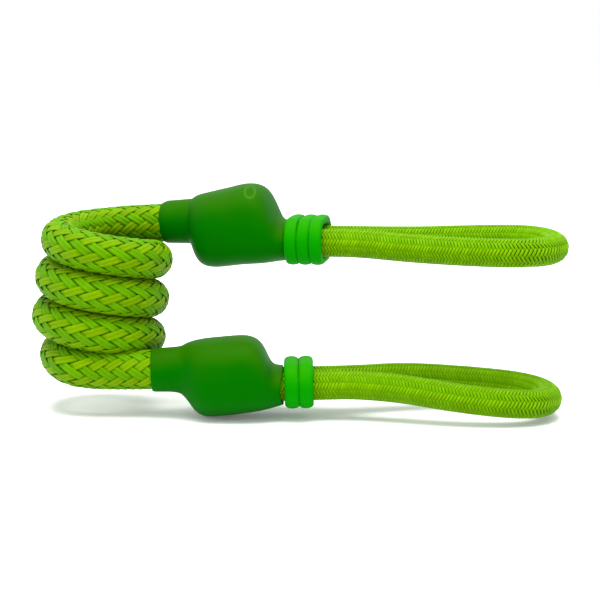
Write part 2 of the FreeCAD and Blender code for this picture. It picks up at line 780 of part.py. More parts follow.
shapes = {}
for node, (piece, place) in sub_parts.items():
    shape = piece.Shape.copy()
    if shape.isNull() or not shape.isValid() or not shape.Solids:
        raise RuntimeError(f"{node} is not a valid solid")
    shape.Placement = place * shape.Placement
    shapes[node] = shape

whole = FreeCAD.BoundBox()
for shape in shapes.values():
    whole.add(shape.optimalBoundingBox(False))
shift = Vector(-whole.Center.x, -whole.Center.y, -whole.ZMin)
print("size, mm:", round(whole.XLength, 2), round(whole.YLength, 2), round(whole.ZLength, 2))
print("coil axis at, mm:", [round(value, 3) for value in shift])

os.makedirs("parts", exist_ok=True)
for node, (piece, place) in sub_parts.items():
    piece.Label = node
    shape = shapes[node]
    shape.translate(shift)
    shape.exportStep(f"parts/{node}.step")
print(len(shapes), "sub-parts")
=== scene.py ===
"""A coiled rope tether with rubber boots and elastic loops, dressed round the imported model."""

import math

import bmesh
import bpy
import numpy as np
from mathutils import Matrix, Vector


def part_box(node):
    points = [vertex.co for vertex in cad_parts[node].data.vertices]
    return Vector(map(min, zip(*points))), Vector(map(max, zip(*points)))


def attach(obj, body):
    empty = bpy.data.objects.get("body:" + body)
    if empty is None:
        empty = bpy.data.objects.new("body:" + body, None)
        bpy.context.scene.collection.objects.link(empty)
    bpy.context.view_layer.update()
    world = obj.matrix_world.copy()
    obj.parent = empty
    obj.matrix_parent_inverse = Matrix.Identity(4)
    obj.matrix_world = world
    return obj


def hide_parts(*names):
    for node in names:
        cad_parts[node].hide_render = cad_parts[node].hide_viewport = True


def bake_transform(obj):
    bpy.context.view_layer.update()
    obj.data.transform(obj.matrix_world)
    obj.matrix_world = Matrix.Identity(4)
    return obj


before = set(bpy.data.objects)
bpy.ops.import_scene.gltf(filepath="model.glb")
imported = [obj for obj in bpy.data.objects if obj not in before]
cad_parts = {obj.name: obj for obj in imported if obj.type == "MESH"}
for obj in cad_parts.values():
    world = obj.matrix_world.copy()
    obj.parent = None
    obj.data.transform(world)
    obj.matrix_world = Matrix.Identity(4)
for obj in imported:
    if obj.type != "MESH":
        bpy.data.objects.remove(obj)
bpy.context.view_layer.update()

MM = 0.001

# ---------------------------------------------------------------------------
# sizes of the real pieces, in metres, and where the frame holds them
# ---------------------------------------------------------------------------

ROPE_RADIUS = 5.5 * MM
COIL_RADIUS = 13.4 * MM
COIL_LEAN = 0.1
CORD_RADIUS = 4.0 * MM
LEG_SPACING = 8.3 * MM
LOOP_HALF_WIDTH = 13.0 * MM
LOOP_REACH = 75.8 * MM
BOOT_LENGTH = 36.8 * MM
NECK_DROP = 5.0 * MM
CRIMP_START = 22.0 * MM
UPPER_LEAD = 14.3 * MM
LOWER_LEAD = 13.7 * MM
ROPE_IN_BOOT = 9.0 * MM
UPPER_YAW = math.radians(10)
UPPER_PITCH = math.radians(0.5)
LOWER_PITCH = math.radians(1.5)

COIL_LOW, COIL_HIGH = (Vector(corner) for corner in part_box("coil"))
COIL_AXIS = (COIL_LOW + COIL_HIGH) / 2
LOW_LEVEL = COIL_LOW.z + ROPE_RADIUS
HIGH_LEVEL = COIL_HIGH.z - ROPE_RADIUS

LOWER_TURN = Matrix.Rotation(-LOWER_PITCH, 4, "Y")
LOWER_TANGENT = Vector((COIL_AXIS.x, COIL_AXIS.y - COIL_RADIUS, LOW_LEVEL))
LOWER_PLACE = Matrix.Translation(LOWER_TANGENT) @ LOWER_TURN @ Matrix.Translation((LOWER_LEAD, 0, 0))
UPPER_TURN = Matrix.Rotation(-UPPER_YAW, 4, "Z") @ Matrix.Rotation(-UPPER_PITCH, 4, "Y")
UPPER_TANGENT = Vector(
    (
        COIL_AXIS.x + COIL_RADIUS * math.sin(UPPER_YAW),
        COIL_AXIS.y + COIL_RADIUS * math.cos(UPPER_YAW),
        HIGH_LEVEL,
    )
)
UPPER_PLACE = Matrix.Translation(UPPER_TANGENT) @ UPPER_TURN @ Matrix.Translation((UPPER_LEAD, 0, 0))
PLACES = {"upper": UPPER_PLACE, "lower": LOWER_PLACE}

# ---------------------------------------------------------------------------
# camera, floor and light
# ---------------------------------------------------------------------------

CAMERA_DISTANCE = 0.55
CAMERA_ELEVATION = math.radians(9)
PICTURE_WIDTH = 0.1716
PICTURE_CENTRE = Vector((COIL_AXIS.x + 56.3 * MM, COIL_AXIS.y, LOW_LEVEL + 18.0 * MM))
SENSOR_WIDTH = 36.0
FLOOR_SIZE = 4.0
LIGHT_TARGET = (0, 0, 0.03)


def aim(item, target):
    """Turn a camera or a light to look at a point."""
    item.rotation_euler = (Vector(target) - item.location).to_track_quat("-Z", "Y").to_euler()


def add_camera():
    data = bpy.data.cameras.new("camera")
    camera = bpy.data.objects.new("camera", data)
    bpy.context.scene.collection.objects.link(camera)
    data.sensor_width = SENSOR_WIDTH
    data.lens = SENSOR_WIDTH * CAMERA_DISTANCE / PICTURE_WIDTH
    back = Vector((0, -math.cos(CAMERA_ELEVATION), math.sin(CAMERA_ELEVATION)))
    camera.location = PICTURE_CENTRE + back * CAMERA_DISTANCE
    aim(camera, PICTURE_CENTRE)
    bpy.context.scene.camera = camera


def add_area_light(name, place, width, power):
    data = bpy.data.lights.new(name, "AREA")
    data.shape = "SQUARE"
    data.size = width
    data.energy = power
    light = bpy.data.objects.new(name, data)
    bpy.context.scene.collection.objects.link(light)
    light.location = place
    aim(light, LIGHT_TARGET)


def add_surroundings():
    """A white floor and soft light: a bright room, one broad light above and a weak one at the left."""
    bpy.ops.mesh.primitive_plane_add(size=FLOOR_SIZE, location=(0, 0, 0))
    floor = bpy.context.object
    floor.name = "floor"
    floor.data.materials.append(plain_floor())
    world = bpy.data.worlds.new("studio")
    world.use_nodes = True
    background = world.node_tree.nodes["Background"]
    background.inputs["Color"].default_value = (1, 1, 1, 1)
    background.inputs["Strength"].default_value = 1.0
    bpy.context.scene.world = world
    bpy.context.scene.view_settings.view_transform = "Standard"
    add_area_light("top_light", (0.0, -0.1, 0.8), 0.6, 9.0)
    add_area_light("left_light", (-0.7, -0.5, 0.4), 0.4, 0.8)


# ---------------------------------------------------------------------------
# material helpers
# ---------------------------------------------------------------------------


def srgb(code):
    """A hex colour as the linear numbers the shader wants."""
    channels = [int(code[index:index + 2], 16) / 255 for index in (1, 3, 5)]
    linear = [c / 12.92 if c <= 0.04045 else ((c + 0.055) / 1.055) ** 2.4 for c in channels]
    return (*linear, 1.0)


def add_node(material, kind, settings=None, **links):
    """Add a shader node; settings are its properties, links are its inputs' values or other sockets."""
    node = material.node_tree.nodes.new(kind)
    for name, value in (settings or {}).items():
        setattr(node, name, value)
    for name, value in links.items():
        key = int(name[1:]) if name[0] == "_" and name[1:].isdigit() else name.replace("_", " ")
        socket = node.inputs[key]
        if isinstance(value, bpy.types.NodeSocket):
            material.node_tree.links.new(value, socket)
        else:
            socket.default_value = value
    return node


def new_material(name):
    """A material with an empty Principled shader; returns both."""
    material = bpy.data.materials.new(name)
    material.use_nodes = True
    return material, material.node_tree.nodes["Principled BSDF"]


def link(material, source, target):
    material.node_tree.links.new(source, target)


def plain_floor():
    """Matt white paper sweep: no shine, only the soft shadow of what lies on it."""
    material, shader = new_material("white_paper")
    shader.inputs["Base Color"].default_value = srgb("#fafafa")
    shader.inputs["Roughness"].default_value = 0.9
    shader.inputs["Emission Color"].default_value = srgb("#ffffff")
    shader.inputs["Emission Strength"].default_value = 0.08
    return material


# ---------------------------------------------------------------------------
# cord routes
# ---------------------------------------------------------------------------

# Each leg of a loop past the neck: share of the reach, share of the half opening, and height in metres.
LOOP_ROUTES = {
    "upper": [(0.28, 0.0, 0.0), (0.48, 0.33, -0.0006), (0.70, 0.85, -0.0006), (0.90, 1.0, -0.0006)],
    "lower": [(0.28, 0.0, 0.0), (0.46, 0.45, -0.0005), (0.66, 0.95, -0.0027), (0.90, 1.0, -0.0049)],
}
TIP_HEIGHTS = {"upper": -0.0010, "lower": -0.0057}
TIP_PLACES = {"upper": 0.0003, "lower": -0.0007}
LOOP_ROLL = {"upper": 0.04, "lower": 0.03}
STRAIGHT_PAST_RINGS = 8 * MM
STRAIGHT_POINTS = 3
COIL_TURNS = 3.5
COIL_POINTS_PER_TURN = 16
# the turns lie a little lower on the side of the boots, and the last one is drawn in on the other side
TURN_TILT = 0.04
TURN_DROP = 0.2 * MM
LAST_TURN_WIDTH = 0.82
MIDDLE_TURN_WIDTH = 1.06
# the upper lead sags where it leaves its boot, fading out along the first share of the turns
LEAD_SAG = 1.0 * MM
LEAD_SHARE = 0.14
# how far back along each lead its one route point lies
UPPER_LEAD_POINT = 0.45
LOWER_LEAD_POINT = 0.75


def loop_route(end):
    """Route of an elastic loop: out of the crimp, between the rings, round the tip and back."""
    legs = LEG_SPACING / 2
    tip = BOOT_LENGTH + LOOP_REACH + TIP_PLACES[end]
    turn = LOOP_HALF_WIDTH * math.tan(math.pi / 8)
    route = LOOP_ROUTES[end]
    leg = [Vector((CRIMP_START, legs, -NECK_DROP))]
    for share, opening, height in route[:-1]:
        across = legs + opening * (LOOP_HALF_WIDTH - legs)
        leg.append(Vector((BOOT_LENGTH + share * LOOP_REACH, across, height - NECK_DROP)))
    # one more point holds each leg straight as far as the rings can slide
    leg.insert(2, leg[1])
    leg[1] = leg[1] - Vector((STRAIGHT_PAST_RINGS, 0, 0))
    leg.append(Vector((tip - LOOP_HALF_WIDTH + turn, LOOP_HALF_WIDTH, route[-1][2] - NECK_DROP)))
    leg.append(Vector((tip, turn, TIP_HEIGHTS[end] - NECK_DROP)))
    far = []
    near = []
    for index, point in enumerate(leg):
        tilt = LOOP_ROLL[end] * point.y if index >= STRAIGHT_POINTS else 0
        far.append(PLACES[end] @ Vector((point.x, point.y, point.z + tilt)))
        near.append(PLACES[end] @ Vector((point.x, -point.y, point.z - tilt)))
    return near + far[::-1]


def coil_route():
    """Route of the rope: out of the upper boot along the back of the coil, down its turns, and along the
    front into the lower boot. The turns' points stand outside the turns, because the line passes inside."""
    points = [PLACES["upper"] @ Vector((ROPE_IN_BOOT, 0, 0))]
    points.append(PLACES["upper"] @ Vector((-UPPER_LEAD * UPPER_LEAD_POINT, 0, -LEAD_SAG / 2)))
    step = 2 * math.pi / COIL_POINTS_PER_TURN
    reach = COIL_RADIUS / (0.75 + 0.25 * math.cos(step))
    first = math.pi / 2 - UPPER_YAW
    last = first + UPPER_YAW + 2 * math.pi * COIL_TURNS
    count = round((last - first) / step)
    middle = (LOW_LEVEL + HIGH_LEVEL) / 2
    last_left = 2 * math.pi * COIL_TURNS
    for number in range(1, count):
        share = number / count
        angle = first + (last - first) * share
        along = reach * math.cos(angle)
        if abs(angle - last_left) < math.pi / 2:
            along *= LAST_TURN_WIDTH
        elif along < 0 and angle > 2 * math.pi:
            along *= MIDDLE_TURN_WIDTH
        level = HIGH_LEVEL + (LOW_LEVEL - HIGH_LEVEL) * share
        lean = COIL_LEAN * (level - middle)
        dip = -TURN_TILT * along - TURN_DROP - LEAD_SAG * max(0, 1 - share / LEAD_SHARE)
        points.append(
            Vector((COIL_AXIS.x + lean + along, COIL_AXIS.y + reach * math.sin(angle), level + dip))
        )
    points.append(PLACES["lower"] @ Vector((-LOWER_LEAD * LOWER_LEAD_POINT, 0, 0)))
    points.append(PLACES["lower"] @ Vector((ROPE_IN_BOOT, 0, 0)))
    return points


def centre_line(name, route, detail=24):
    """Points along the smooth NURBS line that a route controls."""
    curve = bpy.data.curves.new(name, "CURVE")
    curve.dimensions = "3D"
    curve.resolution_u = detail
    spline = curve.splines.new("NURBS")
    spline.points.add(len(route) - 1)
    for point, place in zip(spline.points, route):
        point.co = (*place, 1)
    spline.order_u = 3
    spline.use_endpoint_u = True
    item = bpy.data.objects.new(name, curve)
    bpy.context.scene.collection.objects.link(item)
    mesh = bpy.data.meshes.new_from_object(item)
    points = np.array([vertex.co[:] for vertex in mesh.vertices])
    bpy.data.meshes.remove(mesh)
    bpy.data.objects.remove(item)
    bpy.data.curves.remove(curve)
    return points


SMALLEST_STEP = 0.02 * MM


class Line:
    """A centre line with its length and a frame that never twists about it."""

    def __init__(self, points):
        gaps = np.linalg.norm(np.diff(points, axis=0), axis=1)
        keep = np.concatenate([[True], gaps > SMALLEST_STEP])
        points = points[keep]
        self.points = points
        self.marks = np.concatenate([[0], np.cumsum(np.linalg.norm(np.diff(points, axis=0), axis=1))])
        self.length = float(self.marks[-1])
        tangents = np.gradient(points, self.marks, axis=0)
        tangents /= np.linalg.norm(tangents, axis=1)[:, None]
        side = np.cross(tangents[0], (0, 0, 1.0))
        side /= np.linalg.norm(side)
        sides = [side]
        for tangent in tangents[1:]:
            side = side - tangent * np.dot(side, tangent)
            side /= np.linalg.norm(side)
            sides.append(side)
        self.sides = np.array(sides)
        self.ups = np.cross(self.sides, tangents)

    def at(self, marks):
        """Place, side and up at each distance along the line."""
        found = []
        for rows in (self.points, self.sides, self.ups):
            found.append(np.stack([np.interp(marks, self.marks, rows[:, axis]) for axis in range(3)], axis=1))
        place, side, up = found
        side /= np.linalg.norm(side, axis=1)[:, None]
        up /= np.linalg.norm(up, axis=1)[:, None]
        return place, side, up


# ---------------------------------------------------------------------------
# cord meshes
# ---------------------------------------------------------------------------


def ring_faces(rings, around, first=0):
    """Quads that join rings of points one after another, and a cap on each end."""
    faces = []
    for ring in range(rings - 1):
        for spot in range(around):
            a = first + ring * around + spot
            b = first + ring * around + (spot + 1) % around
            faces.append((a, b, b + around, a + around))
    faces.append(tuple(range(first + around - 1, first - 1, -1)))
    last = first + (rings - 1) * around
    faces.append(tuple(range(last, last + around)))
    return faces


def mesh_piece(name, vertices, faces, material):
    """A smooth-shaded piece from points and faces."""
    mesh = bpy.data.meshes.new(name)
    mesh.from_pydata([tuple(v) for v in vertices], [], faces)
    mesh.materials.append(material)
    mesh.shade_smooth()
    piece = bpy.data.objects.new(name, mesh)
    bpy.context.scene.collection.objects.link(piece)
    return piece


def add_values(piece, name, values):
    """Store one number per vertex for a material to read."""
    attribute = piece.data.attributes.new(name, "FLOAT", "POINT")
    attribute.data.foreach_set("value", np.asarray(values, dtype=np.float32))


def round_core(name, line, radius, material, step, around=20):
    """A plain round core along a line."""
    rings = max(8, round(line.length / step))
    marks = np.linspace(0, line.length, rings)
    place, side, up = line.at(marks)
    vertices = []
    for spot in range(around):
        angle = 2 * math.pi * spot / around
        vertices.append(place + radius * (math.cos(angle) * side + math.sin(angle) * up))
    vertices = np.stack(vertices, axis=1).reshape(-1, 3)
    piece = mesh_piece(name, vertices, ring_faces(rings, around), material)
    add_values(piece, "along", np.repeat(marks, around))
    return piece


# Section of a flat doubled yarn: two plump threads side by side, a groove between them.
DOUBLED_YARN = [
    (-1.0, 0.0), (-0.85, 0.6), (-0.5, 0.95), (-0.15, 0.85), (0.0, 0.6), (0.15, 0.85), (0.5, 0.95),
    (0.85, 0.6), (1.0, 0.0), (0.6, -0.8), (0.0, -0.9), (-0.6, -0.8),
]
# Section of a single fine yarn, seen only from above.
SINGLE_YARN = [(-1.0, -0.2), (-0.45, 1.0), (0.45, 1.0), (1.0, -0.2)]


def braid(name, line, radius, lead, carriers, width, thickness, section, step, material, seed):
    """A braided cover: carriers strands wind each way round the line, each over two and under two of the
    others. lead is the length along the line of one turn of a strand."""
    random = np.random.default_rng(seed)
    climb = math.hypot(1, 2 * math.pi * radius / lead)
    count = max(8, round(line.length * climb / step))
    marks = np.linspace(0, line.length, count)
    place, side, up = line.at(marks)
    middle = radius - thickness
    around = len(section)
    vertices, faces, hands, shades, depths, alongs, arounds = [], [], [], [], [], [], []
    for hand in (1, -1):
        for number in range(carriers):
            angle = hand * 2 * math.pi * marks / lead + 2 * math.pi * number / carriers
            crossing = 2 * number + hand * 2 * carriers * marks / lead
            weave = np.clip(1.5 * np.cos((crossing - 0.5) * math.pi / 2), -1, 1) * hand
            reach = middle + weave * thickness * 0.5
            outward = np.cos(angle)[:, None] * side + np.sin(angle)[:, None] * up
            track = place + reach[:, None] * outward
            heading = np.gradient(track, axis=0)
            heading /= np.linalg.norm(heading, axis=1)[:, None]
            across = np.cross(heading, outward)
            across /= np.linalg.norm(across, axis=1)[:, None]
            lift = np.cross(across, heading)
            first = sum(len(rows) for rows in vertices)
            rows = []
            for x, y in section:
                rows.append(track + across * (x * width / 2) + lift * (y * thickness / 2))
            rows = np.stack(rows, axis=1).reshape(-1, 3)
            vertices.append(rows)
            faces.extend(ring_faces(count, around, first))
            hands.append(np.full(len(rows), 0.5 + 0.5 * hand))
            shades.append(np.full(len(rows), random.random()))
            depths.append(np.repeat((weave + 1) / 2, around))
            alongs.append(np.repeat(marks * climb, around))
            arounds.append(np.tile([x for x, _ in section], count))
    piece = mesh_piece(name, np.concatenate(vertices), faces, material)
    for label, values in (
        ("hand", hands),
        ("strand", shades),
        ("depth", depths),
        ("along", alongs),
        ("across", arounds),
    ):
        add_values(piece, label, np.concatenate(values))
    return piece


# ---------------------------------------------------------------------------
# yarn materials
# ---------------------------------------------------------------------------


def braided_yarn(name, rising, falling, shadow, fibre_mm, under):
    """Braided polyester yarn: two bundles of filaments of slightly different lime, silky along the
    filaments, with painted shade where one strand dives under another. under is how much of its colour
    the painted shade on the underside keeps."""
    material, shader = new_material(name)
    hand = add_node(material, "ShaderNodeAttribute", {"attribute_name": "hand"})
    strand = add_node(material, "ShaderNodeAttribute", {"attribute_name": "strand"})
    depth = add_node(material, "ShaderNodeAttribute", {"attribute_name": "depth"})
    across = add_node(material, "ShaderNodeAttribute", {"attribute_name": "across"})
    along = add_node(material, "ShaderNodeAttribute", {"attribute_name": "along"})
    two = add_node(
        material, "ShaderNodeMix", {"data_type": "RGBA"}, Factor=hand.outputs["Fac"],
        _6=srgb(falling), _7=srgb(rising),
    )
    tint = add_node(
        material, "ShaderNodeHueSaturation", Color=two.outputs[2], Hue=0.5, Saturation=1.0,
    )
    spread = add_node(
        material, "ShaderNodeMapRange", Value=strand.outputs["Fac"], To_Min=0.9, To_Max=1.1,
    )
    link(material, spread.outputs[0], tint.inputs["Value"])
    # painted shade: the colour is mixed towards the shadow colour where the strand dives under another
    dive = add_node(
        material, "ShaderNodeMapRange", Value=depth.outputs["Fac"], From_Min=0.0, From_Max=0.8,
        To_Min=0.0, To_Max=1.0,
    )
    shaded = add_node(
        material, "ShaderNodeMix", {"data_type": "RGBA"}, Factor=dive.outputs[0],
        _6=srgb(shadow), _7=tint.outputs[0],
    )
    # filaments run along the strand with a slight twist
    place = add_node(
        material, "ShaderNodeCombineXYZ", X=across.outputs["Fac"], Y=along.outputs["Fac"],
    )
    grain = add_node(
        material, "ShaderNodeMapping", Vector=place.outputs[0],
        Scale=(9.0, 1.0 / (fibre_mm * MM * 12), 1.0), Rotation=(0, 0, 0),
    )
    fibres = add_node(
        material, "ShaderNodeTexNoise", Vector=grain.outputs[0], Scale=1.0, Detail=2.0, Roughness=0.6,
    )
    streak = add_node(
        material, "ShaderNodeMapRange", Value=fibres.outputs[0], From_Min=0.3, From_Max=0.7,
        To_Min=0.82, To_Max=1.12,
    )
    streaked = add_node(
        material, "ShaderNodeHueSaturation", Color=shaded.outputs[2], Value=streak.outputs[0],
    )
    # painted shade: the colour is darkened in the dip between the strand's two yarns and at its edges
    offset = add_node(material, "ShaderNodeMath", {"operation": "ABSOLUTE"}, _0=across.outputs["Fac"])
    dip = add_node(
        material, "ShaderNodeMapRange", {"interpolation_type": "SMOOTHSTEP"}, Value=offset.outputs[0],
        From_Min=0.0, From_Max=0.3, To_Min=0.86, To_Max=1.0,
    )
    edge = add_node(
        material, "ShaderNodeMapRange", {"interpolation_type": "SMOOTHSTEP"}, Value=offset.outputs[0],
        From_Min=0.7, From_Max=1.0, To_Min=1.0, To_Max=0.82,
    )
    both = add_node(
        material, "ShaderNodeMath", {"operation": "MULTIPLY"}, _0=dip.outputs[0], _1=edge.outputs[0],
    )
    # painted shade: faces turned down keep only the share under of their colour, on top of the painted shade
    # of the dip and edges
    surface = add_node(material, "ShaderNodeNewGeometry")
    facing = add_node(material, "ShaderNodeSeparateXYZ", Vector=surface.outputs["Normal"])
    painted_underside_shade = add_node(
        material, "ShaderNodeMapRange", {"interpolation_type": "SMOOTHSTEP"}, Value=facing.outputs["Z"],
        From_Min=-0.8, From_Max=0.3, To_Min=under, To_Max=1.0,
    )
    painted_shade_factor = add_node(
        material, "ShaderNodeMath", {"operation": "MULTIPLY"}, _0=both.outputs[0], _1=painted_underside_shade.outputs[0],
    )
    grooved = add_node(
        material, "ShaderNodeHueSaturation", Color=streaked.outputs[0], Value=painted_shade_factor.outputs[0],
    )
    link(material, grooved.outputs[0], shader.inputs["Base Color"])
    bump = add_node(
        material, "ShaderNodeBump", Height=fibres.outputs[0], Strength=0.35, Distance=0.00012,
    )
    link(material, bump.outputs[0], shader.inputs["Normal"])
    shader.inputs["Roughness"].default_value = 0.6
    shader.inputs["Specular IOR Level"].default_value = 0.12
    shader.inputs["Specular Tint"].default_value = srgb("#b4e000")
    return material


def packed_core(name, code):
    """Bundled core filaments seen only through gaps in the cover: their own colour darkened as painted shade
    of the gaps, matt, faintly streaked.
    """
    material, shader = new_material(name)
    place = add_node(material, "ShaderNodeTexCoord")
    streaks = add_node(
        material, "ShaderNodeTexNoise", Vector=place.outputs["Object"], Scale=900.0, Detail=2.0,
    )
    shade = add_node(
        material, "ShaderNodeMapRange", Value=streaks.outputs[0], To_Min=0.7, To_Max=1.2,
    )
    tint = add_node(material, "ShaderNodeHueSaturation", Color=srgb(code), Value=shade.outputs[0])
    link(material, tint.outputs[0], shader.inputs["Base Color"])
    shader.inputs["Roughness"].default_value = 0.8
    shader.inputs["Specular IOR Level"].default_value = 0.1
    return material


# ---------------------------------------------------------------------------
# the rope and the loops
# ---------------------------------------------------------------------------


CARRIERS = 12
ROPE_LEAD = 50 * MM
ROPE_PROUD = 0.1 * MM
ROPE_CORE_RADIUS = 4.4 * MM
CORD_LEAD = 11.0 * MM
CORD_CORE_RADIUS = 3.35 * MM
CORE_STEP = 1.5 * MM


def stretch_with_coil(piece):
    """Bake the piece's place into its mesh and read its rope_mark values back; nothing uses them."""
    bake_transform(piece)
    values = np.empty(len(piece.data.vertices), dtype=np.float32)
    piece.data.attributes["rope_mark"].data.foreach_get("value", values)


def add_rope():
    """The braided rope from boot to boot, cover and core."""
    line = Line(centre_line("rope_route", coil_route()))
    # the yarn's third colour is painted shade under crossing strands, its last number the painted shade on
    # the underside
    cover = braid(
        "rope_cover", line, ROPE_RADIUS + ROPE_PROUD, ROPE_LEAD, CARRIERS, 2.25 * MM, 0.62 * MM,
        DOUBLED_YARN, 1.3 * MM,
        braided_yarn("lime_braided_rope", "#699202", "#558d02", "#3b7a00", 0.1, 0.9), seed=3,
    )
    # the core's dark colour is partly painted shade in the gaps of the cover
    core = round_core(
        "rope_core", line, ROPE_CORE_RADIUS, packed_core("rope_filling", "#3a7600"), CORE_STEP
    )
    climb = math.hypot(1, 2 * math.pi * ROPE_RADIUS / ROPE_LEAD)
    for piece, scale in ((cover, 1 / climb), (core, 1.0)):
        values = np.empty(len(piece.data.vertices), dtype=np.float32)
        piece.data.attributes["along"].data.foreach_get("value", values)
        add_values(piece, "rope_mark", values * scale)
        stretch_with_coil(piece)
    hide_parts("coil", "upper_rope_sheath", "lower_rope_sheath")
    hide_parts("upper_rope_core", "lower_rope_core")


def add_loop(end, cover_material, core_material, seed):
    """One elastic loop from crimp to crimp, cover and core."""
    line = Line(centre_line(end + "_loop_route", loop_route(end)))
    cover = braid(
        end + "_loop_cover_braid", line, CORD_RADIUS, CORD_LEAD, CARRIERS, 0.88 * MM, 0.4 * MM,
        SINGLE_YARN, 0.56 * MM, cover_material, seed,
    )
    core = round_core(end + "_loop_strands", line, CORD_CORE_RADIUS, core_material, CORE_STEP)
    for piece in (cover, core):
        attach(piece, end + "_end")
    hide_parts(end + "_loop_cover")
    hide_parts(end + "_loop_core")


# ---------------------------------------------------------------------------
# boots and rings
# ---------------------------------------------------------------------------

# Sections of each boot along its length, in millimetres: place, top, bottom, half width, and how far the
# corners are pushed out to square the section. The first is the thin lip round the rope.
BOOT_SECTIONS = {
    "upper": [
        (0.0, 5.45, -5.45, 5.45, 1.0),
        (0.2, 5.50, -5.50, 5.50, 1.0),
        (1.5, 6.20, -6.20, 6.20, 1.0),
        (1.9, 6.25, -6.25, 6.25, 1.0),
        (7.8, 6.75, -6.20, 6.25, 1.0),
        (8.7, 6.85, -6.35, 6.35, 1.0),
        (9.2, 6.95, -6.80, 6.70, 1.0),
        (9.8, 7.60, -8.60, 7.90, 1.0),
        (11.2, 8.25, -11.6, 9.90, 1.02),
        (13.4, 8.75, -12.9, 11.5, 1.04),
        (16.6, 9.55, -13.1, 12.4, 1.05),
        (20.4, 10.4, -12.6, 12.9, 1.05),
        (24.0, 11.4, -12.1, 13.0, 1.06),
        (27.2, 11.6, -11.9, 13.0, 1.07),
        (30.0, 10.6, -11.7, 12.7, 1.07),
        (32.0, 7.8, -11.4, 12.2, 1.05),
        (33.6, 4.0, -11.1, 11.3, 1.03),
        (34.8, 1.6, -10.9, 10.5, 1.02),
        (36.4, 0.9, -10.7, 10.0, 1.0),
        (37.7, 0.8, -10.6, 9.8, 1.0),
    ],
    "lower": [
        (1.0, 5.80, -5.90, 5.80, 1.0),
        (1.2, 6.00, -6.30, 6.10, 1.0),
        (2.4, 6.15, -6.45, 6.25, 1.0),
        (6.5, 6.30, -6.45, 6.35, 1.0),
        (8.7, 6.50, -6.90, 6.60, 1.0),
        (9.5, 6.60, -7.50, 6.90, 1.0),
        (10.7, 7.30, -8.80, 7.80, 1.0),
        (12.2, 7.90, -11.2, 9.50, 1.02),
        (14.0, 8.30, -13.2, 11.1, 1.04),
        (17.0, 8.70, -13.8, 12.4, 1.05),
        (21.2, 8.90, -13.5, 12.9, 1.05),
        (25.2, 9.15, -13.1, 13.0, 1.06),
        (28.4, 9.00, -12.7, 12.9, 1.07),
        (31.1, 7.9, -12.3, 12.5, 1.06),
        (32.9, 5.4, -12.0, 11.9, 1.04),
        (34.2, 1.8, -11.7, 11.0, 1.02),
        (35.4, 0.5, -11.4, 10.3, 1.0),
        (36.9, 0.3, -11.0, 9.9, 1.0),
        (37.9, 0.3, -10.8, 9.8, 1.0),
    ],
}
BOOT_SKIN = 0.9 * MM
AROUND_BOOT = 24


def pick(item, test):
    """Select only the vertices that pass a test on their place, in edit mode."""
    cage = bmesh.from_edit_mesh(item.data)
    for vertex in cage.verts:
        vertex.select = bool(test(vertex.co))
    cage.select_flush_mode()
    bmesh.update_edit_mesh(item.data)


def seat(piece, place):
    """Put a piece modelled in a boot's own frame where that boot is, with its place in its mesh."""
    bpy.ops.object.select_all(action="DESELECT")
    piece.select_set(True)
    bpy.context.view_layer.objects.active = piece
    piece.matrix_world = place
    bpy.ops.object.transform_apply(location=True, rotation=True, scale=True)


def add_boot(end, material):
    """A boot drawn out from a circle, section by section, then given its skin's thickness."""
    sections = [
        (x * MM, top * MM, low * MM, wide * MM, square)
        for x, top, low, wide, square in BOOT_SECTIONS[end]
    ]
    start, top, low, wide, _ = sections[0]
    bpy.ops.object.select_all(action="DESELECT")
    bpy.ops.mesh.primitive_circle_add(
        vertices=AROUND_BOOT, radius=wide, fill_type="NOTHING", location=(start, 0, (top + low) / 2),
        rotation=(0, math.pi / 2, 0),
    )
    boot = bpy.context.object
    boot.name = end + "_boot_skin"
    bpy.ops.object.transform_apply(location=True, rotation=True, scale=True)
    bpy.ops.object.mode_set(mode="EDIT")
    before = sections[0]
    for section in sections[1:]:
        x, top, low, wide, _ = section
        middle = (top + low) / 2
        rise = middle - (before[1] + before[2]) / 2
        pick(boot, lambda place: abs(place.x - before[0]) < 1e-6)
        bpy.ops.mesh.extrude_region_move(
            TRANSFORM_OT_translate={"value": (x - before[0], 0, rise)}
        )
        spread = (1, wide / before[3], (top - low) / (before[1] - before[2]))
        bpy.ops.transform.resize(value=spread, center_override=(x, 0, middle))
        before = section
    for x, top, low, wide, square in sections:
        if square == 1.0:
            continue
        middle = (top + low) / 2
        half = (top - low) / 2
        pick(boot, lambda place: abs(place.x - x) < 1e-6 and is_corner(place, middle, half, wide))
        bpy.ops.transform.resize(value=(1, square, square), center_override=(x, 0, middle))
    if end == "lower":
        ragged_lip(boot, sections[-1][0])
    bpy.ops.mesh.select_all(action="SELECT")
    bpy.ops.mesh.normals_make_consistent(inside=False)
    bpy.ops.object.mode_set(mode="OBJECT")
    skin = boot.modifiers.new("skin", "SOLIDIFY")
    skin.thickness = BOOT_SKIN
    skin.offset = -1
    bpy.ops.object.modifier_apply(modifier="skin")
    smooth = boot.modifiers.new("smooth", "SUBSURF")
    smooth.levels = 2
    smooth.render_levels = 2
    bpy.ops.object.modifier_apply(modifier="smooth")
    boot.data.materials.append(material)
    bpy.ops.object.shade_smooth()
    seat(boot, PLACES[end])
    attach(boot, end + "_end")
    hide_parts(end + "_boot")
    return boot


def is_corner(place, middle, half, wide):
    """Whether a point of a section lies near one of its diagonals."""
    angle = math.degrees(math.atan2((place.z - middle) / half, place.y / wide)) % 90
    return 25 < angle < 65


def ragged_lip(boot, x):
    """The cut edge of the neck's lip is uneven at the front, where it stands off the legs."""
    for height, back in ((-3.0 * MM, 0.5 * MM), (-5.5 * MM, 0.9 * MM), (-8.0 * MM, 0.4 * MM)):
        pick(
            boot,
            lambda place: abs(place.x - x) < 0.05 * MM and place.y < 0 and abs(place.z - height) < 1.3 * MM,
        )
        bpy.ops.transform.translate(value=(-back, 0.2 * MM, 0))


